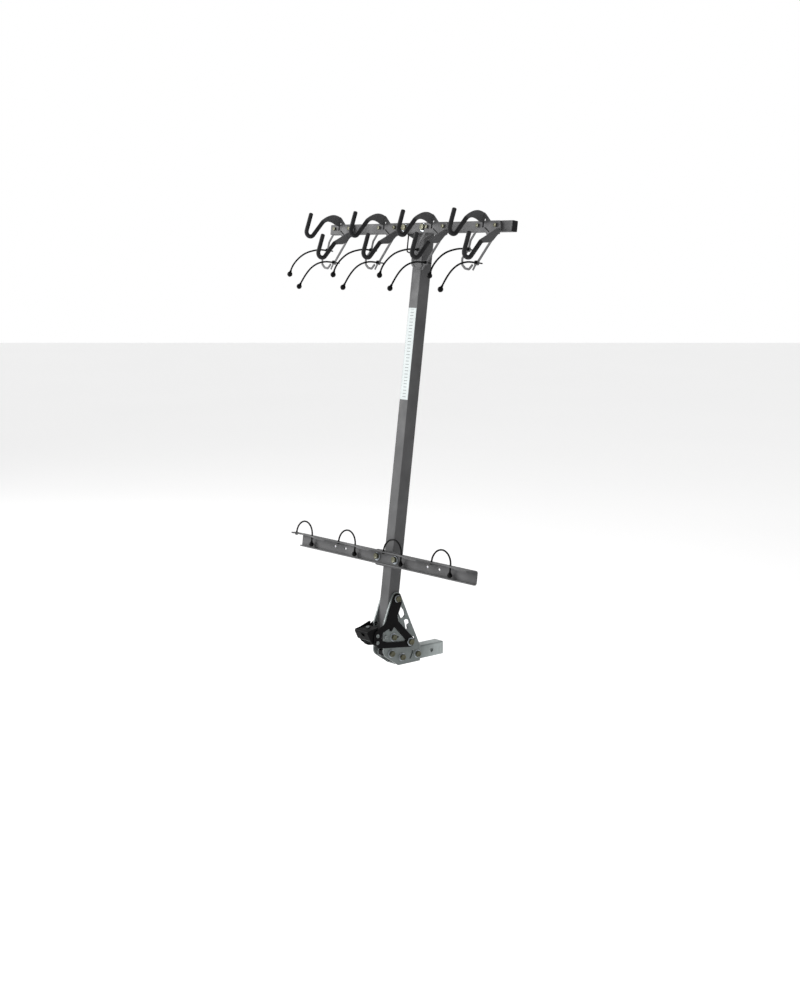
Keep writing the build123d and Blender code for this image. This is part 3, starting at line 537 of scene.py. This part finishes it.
def outer_radius(points, axis):
    middle = middle_of(points)
    return max(((p - middle) - axis * (p - middle).dot(axis)).length for p in points) / MM


def outward(points):
    """+X or -X, whichever side of the rack the solid is on."""
    return SIDEWAYS if sum(p.x for p in points) > 0 else -SIDEWAYS


def fastener_set(node, body, slot, draw):
    """One piece that redraws all solids of a fastener node in detail."""

    def build(shape):
        for points in solids(node):
            draw(shape, points)

    add_piece(f"{node}_detail", build, body, slot, (node,))


fastener_set("base_bolts", "base", "yellow_zinc", lambda s, p: bolt(s, p, SIDEWAYS, HALF_INCH))
fastener_set("base_nuts", "base", "yellow_zinc", lambda s, p: nut(s, p, -SIDEWAYS, HALF_INCH))
fastener_set("base_washers", "base", "pale_zinc",
             lambda s, p: washer(s, p, outward(p), HALF_INCH["shank"], outer_radius(p, SIDEWAYS)))
fastener_set("side_screws", "base", "zinc", lambda s, p: bolt(s, p, outward(p), SMALL, 3.0))


def axis_point(node):
    """Where a node's own X axis crosses the middle of the rack."""
    low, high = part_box(node)
    return Vector((0, (low.y + high.y) / 2, (low.z + high.z) / 2))


def lever_bolt_heads(shape):
    """Shoulders and heads of the two bolts that carry the latch lever."""
    foot = axis_point("lever_pivot_bolts")
    inside = PLATE_FACE - PLATE_T
    screw, shoulder = SMALL["shank"], HALF_INCH["shank"]
    for out in (SIDEWAYS, -SIDEWAYS):
        lathe(shape, foot, out, [(inside, screw - 0.4), (inside + 0.4, screw), (PLATE_FACE, screw),
                                 (PLATE_FACE, shoulder), (LEVER_FACE + SIDE_GAP, shoulder)])
        cap_head(shape, foot, out, LEVER_FACE + SIDE_GAP + WASHER_T, HALF_INCH)


def lever_bolt_washers(shape):
    foot = axis_point("lever_pivot_bolts")
    for out in (SIDEWAYS, -SIDEWAYS):
        flat_washer(shape, foot, out, LEVER_FACE + SIDE_GAP, WASHER_T, HALF_INCH["shank"], LEVER_WASHER_R)


def lock_washers(shape):
    foot = axis_point("lock_bolt")
    for out in (SIDEWAYS, -SIDEWAYS):
        flat_washer(shape, foot, out, LEVER_FACE, WASHER_T, HALF_INCH["shank"], WASHER_R)


def lock_nut(shape):
    nut_ring(shape, axis_point("lock_bolt"), -SIDEWAYS, LEVER_FACE + WASHER_T, HALF_INCH["head"], HALF_INCH)


def pedal_hardware(shape):
    """Four flange screws, the tread's screw and the brace bar."""
    for points in solids("pedal_screws"):
        width = (max(p.x for p in points) - min(p.x for p in points)) / MM
        if width > 40.0:
            foot, length = span(points, SIDEWAYS)
            lathe(shape, foot, SIDEWAYS, [(0.0, 2.2), (length, 2.2)], 24)
        elif abs(sum(p.x for p in points)) / len(points) > 5 * MM:
            bolt(shape, points, outward(points), SMALL, 9.0)
        else:
            foot, length = span(points, TREAD_UP)
            cap_head(shape, foot, TREAD_UP, 0.0, SMALL)


add_piece("lever_bolts_detail", lever_bolt_heads, "base", "yellow_zinc", ("lever_pivot_bolts",))
add_piece("lever_washers", lever_bolt_washers, "base", "pale_zinc", ("lever_pivot_bolts",))
add_piece("lock_washers", lock_washers, "latch", "pale_zinc", ("lock_nut",))
add_piece("lock_nut_detail", lock_nut, "latch", "yellow_zinc", ("lock_nut",))
add_piece("pedal_hardware", pedal_hardware, "latch", "zinc", ("pedal_screws",))
fastener_set("lock_bolt", "latch", "yellow_zinc", lambda s, p: bolt(s, p, SIDEWAYS, HALF_INCH))
fastener_set("bar_bolts", "mast", "yellow_zinc", lambda s, p: bolt(s, p, REARWARD, HALF_INCH))
fastener_set("bar_nuts", "mast", "yellow_zinc", lambda s, p: nut(s, p, ALONG_V, HALF_INCH))
fastener_set("bar_washers", "mast", "pale_zinc",
             lambda s, p: washer(s, p, REARWARD, HALF_INCH["shank"], outer_radius(p, ALONG_V)))
fastener_set("bracket_bolts", "mast", "yellow_zinc", lambda s, p: bolt(s, p, REARWARD, SMALL, 12.0))
fastener_set("bracket_nuts", "mast", "yellow_zinc", lambda s, p: nut(s, p, ALONG_V, SMALL))

# ---- strap ends ----


STRAP_BALL_R = 10.0
BALL_STEPS = 17


def ball_profile(radius, tip):
    """Profile of a ball from just past its neck to a small flat of radius tip."""
    angles = [math.pi * step / BALL_STEPS for step in range(4, BALL_STEPS)]
    return [(-radius * math.cos(angle), max(radius * math.sin(angle), tip)) for angle in angles]


def strap_ball(shape, centre, heading):
    """Moulded ball with a neck that grips the strap and a small flat on its far side."""
    profile = [(-15.0, 3.4), (-14.6, 4.2), (-12.5, 4.5), (-11.0, 4.4), (-10.0, 4.6)]
    profile += ball_profile(STRAP_BALL_R, 2.0)
    profile += [(10.4, 2.0), (10.6, 1.2)]
    lathe(shape, centre, heading, profile, 40)


for piece, kind, route in straps:
    heading = (route[-1] - route[-2]).normalized()
    centre = route[-1] + heading * (STRAP_BALL_R + 2.0) * MM
    ball = add_piece(piece.name.replace("strap", "ball"), lambda shape: strap_ball(shape, centre, heading),
                     "mast", "rubber", ("strap_balls",), 50.0)


def plug(shape, points):
    """Moulded plug through the clip: ribbed collar in front, cone behind, and its pull tail."""
    foot, length = span(points, REARWARD)
    front = length - 7.0
    back = front - 3.0
    profile = [(0.0, 1.6), (0.8, 2.5), (back - 9.0, 2.6), (back - 7.0, 3.2), (back - 5.5, 4.6),
               (back - 1.0, 5.5), (back, 5.6), (back, STRAP_D / 2), (front, STRAP_D / 2), (front, 5.2),
               (front + 0.5, 5.6), (front + 2.6, 5.6), (front + 3.0, 5.1), (front + 3.6, 5.1),
               (front + 4.0, 5.6), (front + 6.2, 5.4), (length, 4.6)]
    lathe(shape, foot, REARWARD, profile, 40)


add_piece("strap_plugs_detail", lambda shape: [plug(shape, p) for p in solids("strap_plugs")],
          "mast", "rubber", ("strap_plugs",), 40.0)

# ---- wheel loops ----

TIE_R = 3.25
LOOP_BALL_R = 9.5
LOOP_STEPS = 36


def wheel_loop(shape, points):
    """Rubber loop with a stud foot on its left leg and a ball on its right leg."""
    left = min(p.x for p in points)
    right = max(p.x for p in points)
    heights = [(p - PIVOT).dot(ALONG_W) / MM for p in points]
    depth = sum((p - PIVOT).dot(ALONG_V) for p in points) / len(points) / MM
    top = max(heights) - TIE_R
    ball_w = min(heights) + LOOP_BALL_R
    ball_x = right / MM - LOOP_BALL_R
    foot_x = left / MM + 6.0
    half = (ball_x - foot_x) / 2
    springing = top - half
    middle = (ball_x + foot_x) / 2
    line = [mast_point(foot_x, depth, springing - 9.0), mast_point(foot_x, depth, springing - 4.0)]
    for step in range(LOOP_STEPS + 1):
        angle = math.pi * step / LOOP_STEPS
        line.append(mast_point(middle - half * math.cos(angle), depth, springing + half * math.sin(angle)))
    line += [mast_point(ball_x, depth, springing - drop) for drop in (8.0, 16.0, 26.0)]
    tube(shape, line, TIE_R, 16)
    stud = mast_point(foot_x, depth, springing)
    foot = [(4.8, 4.4), (5.2, 5.8), (6.0, 6.0), (8.2, 5.8), (9.4, 4.6), (9.8, 3.4)]
    lathe(shape, stud, -ALONG_W, foot, 40)
    lathe(shape, stud, ALONG_W, [(0.2, 4.8), (1.0, 4.7), (3.0, 3.6), (4.0, TIE_R)], 40)
    ball = [(-13.0, 3.3), (-12.0, 4.4), (-9.4, 4.6)] + ball_profile(LOOP_BALL_R, 2.2)
    lathe(shape, mast_point(ball_x, depth, ball_w), -ALONG_W, ball, 40)


add_piece("wheel_loops", lambda shape: [wheel_loop(shape, p) for p in solids("wheel_ties")],
          "mast", "rubber", ("wheel_ties",), 45.0)

# ---- return spring ----


SPRING = {"coil_r": 8.0, "wire_r": 1.5, "turns": 4, "start": math.radians(200), "width_share": 0.78}
SPRING_STEPS = 24


def return_spring(shape):
    """Coil round the lock bolt, with one leg that reaches down towards the hitch tube."""
    low, high = [Vector(corner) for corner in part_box("return_spring")]
    coil_r, wire_r = SPRING["coil_r"], SPRING["wire_r"]
    inset = (coil_r + wire_r) * MM
    axis = Vector((0, high.y - inset, high.z - inset))
    line = [Vector((low.x + wire_r * MM, low.y + 2.2 * MM, low.z + 2.0 * MM))]
    steps = SPRING["turns"] * SPRING_STEPS
    advance = (high.x - low.x) / steps * SPRING["width_share"]
    for step in range(steps + 1):
        angle = SPRING["start"] + math.tau * step / SPRING_STEPS
        around = Vector((0, math.cos(angle), math.sin(angle))) * coil_r * MM
        line.append(axis + around + Vector((low.x + wire_r * MM + advance * step, 0, 0)))
    tube(shape, line, wire_r, 10)


add_piece("spring_coil", return_spring, "latch", "dark_steel", ("return_spring",), 60.0)

# ---- weld beads ----


def bead(shape, start, end, radius=2.6, pitch=2.4):
    """Row of overlapping ripples between two points."""
    length = (end - start).length / MM
    count = max(6, int(length / pitch) * 4)
    line = [start.lerp(end, k / count) for k in range(count + 1)]

    def ripple(k):
        return radius * (0.55 if k in (0, count) else 0.93 + 0.11 * math.cos(math.tau * k / 4))

    tube(shape, line, ripple, 10)


def mast_welds(shape):
    """Beads down both sides of the mast behind the head plate and the wheel bar's plate."""
    for side in (-1, 1):
        x = side * 25.6
        bead(shape, mast_point(x, -35.4, 1424.0), mast_point(x, -35.4, 1526.0))
        bead(shape, mast_point(x, -35.4, 266.0), mast_point(x, -35.4, 318.0))


def rod_welds(shape):
    """Short beads on both sides of each hook rod where it sits in its bracket arm."""
    for station in range(STATIONS):
        left = FIRST_BOLT_X + station * STATION_PITCH
        for x, top in ((left + 22.3, CROSSBAR_W), (left + 107.5, CROSSBAR_W - 80.5)):
            start = mast_point(x, -154.4, top + 15.5)
            back = (start - mast_point(x, -198.9, top - 46.0)).normalized() * 6.0 * MM
            for side in (-1, 1):
                shift = SIDEWAYS * side * 3.6 * MM
                bead(shape, start + shift + back * 0.15, start + shift + back, 1.5, 1.6)


add_piece("mast_welds", mast_welds, "mast", "powder_coat", (), 60.0)
add_piece("rod_welds", rod_welds, "mast", "powder_coat", (), 60.0)

# ---- stage ----

FLOOR_LEVEL = -0.42
FLOOR_GLOW = 0.4
ACROSS_VIEW = Matrix.Rotation(CAMERA_TURN, 3, "Z") @ SIDEWAYS
LOOK_AT = Vector((0, 0, 0.8))
LAMPS = (("key", (-4.8, -3.2, 2.6), 3.0, 300.0), ("fill", (5.0, 1.5, 4.0), 4.0, 40.0))


def add_floor():
    """Pale floor, wide enough to fill the view, that glows a little."""
    turn = Matrix.Rotation(CAMERA_TURN, 3, "Z")
    mesh = bpy.data.meshes.new("floor")
    corners = [turn @ Vector((x, y, FLOOR_LEVEL)) for x, y in ((-14, -9), (14, -9), (14, 30), (-14, 30))]
    mesh.from_pydata(corners, [], [(0, 1, 2, 3)])
    floor = bpy.data.objects.new("floor", mesh)
    bpy.context.scene.collection.objects.link(floor)
    cover = Finish("floor_cover", 0.9, specular=0.1)
    tone = cover.mix(cover.ramp(cover.noise(0.6), 0.3, 0.7), (0.94, 0.94, 0.94), (0.96, 0.96, 0.96))
    cover.link(tone, cover.shader.inputs["Base Color"])
    cover.shader.inputs["Emission Color"].default_value = (1, 1, 1, 1)
    cover.shader.inputs["Emission Strength"].default_value = FLOOR_GLOW
    mesh.materials.append(cover.material)


def add_surround():
    """White surround that dims overhead and to the right of the view."""
    world = bpy.data.worlds.new("surround")
    world.use_nodes = True
    nodes, links = world.node_tree.nodes, world.node_tree.links
    direction = nodes.new("ShaderNodeTexCoord").outputs["Generated"]

    def dimmed(axis, start, end, floor):
        """1 until the direction's share along the axis is start, then down to floor at end."""
        along = nodes.new("ShaderNodeVectorMath")
        along.operation = "DOT_PRODUCT"
        links.new(direction, along.inputs[0])
        along.inputs[1].default_value = axis
        shade = nodes.new("ShaderNodeMapRange")
        shade.interpolation_type = "SMOOTHSTEP"
        for socket, value in (("From Min", start), ("From Max", end), ("To Min", 1.0), ("To Max", floor)):
            shade.inputs[socket].default_value = value
        links.new(along.outputs["Value"], shade.inputs["Value"])
        return shade.outputs["Result"]

    both = nodes.new("ShaderNodeMath")
    both.operation = "MULTIPLY"
    links.new(dimmed(ACROSS_VIEW, 0.4, 0.85, 0.16), both.inputs[0])
    links.new(dimmed(Vector((0, 0, 1)), 0.3, 0.9, 0.3), both.inputs[1])
    links.new(both.outputs[0], nodes["Background"].inputs["Color"])
    nodes["Background"].inputs["Strength"].default_value = 1.0
    bpy.context.scene.world = world


def add_lamps():
    """Broad key light from the left and a weak fill from the right."""
    for name, place, size, power in LAMPS:
        data = bpy.data.lights.new(name, "AREA")
        data.size = size
        data.energy = power
        lamp = bpy.data.objects.new(name, data)
        lamp.location = place
        lamp.rotation_euler = (LOOK_AT - Vector(place)).to_track_quat("-Z", "Y").to_euler()
        bpy.context.scene.collection.objects.link(lamp)


add_floor()
add_surround()
add_lamps()
bpy.context.scene.view_settings.view_transform = "Standard"
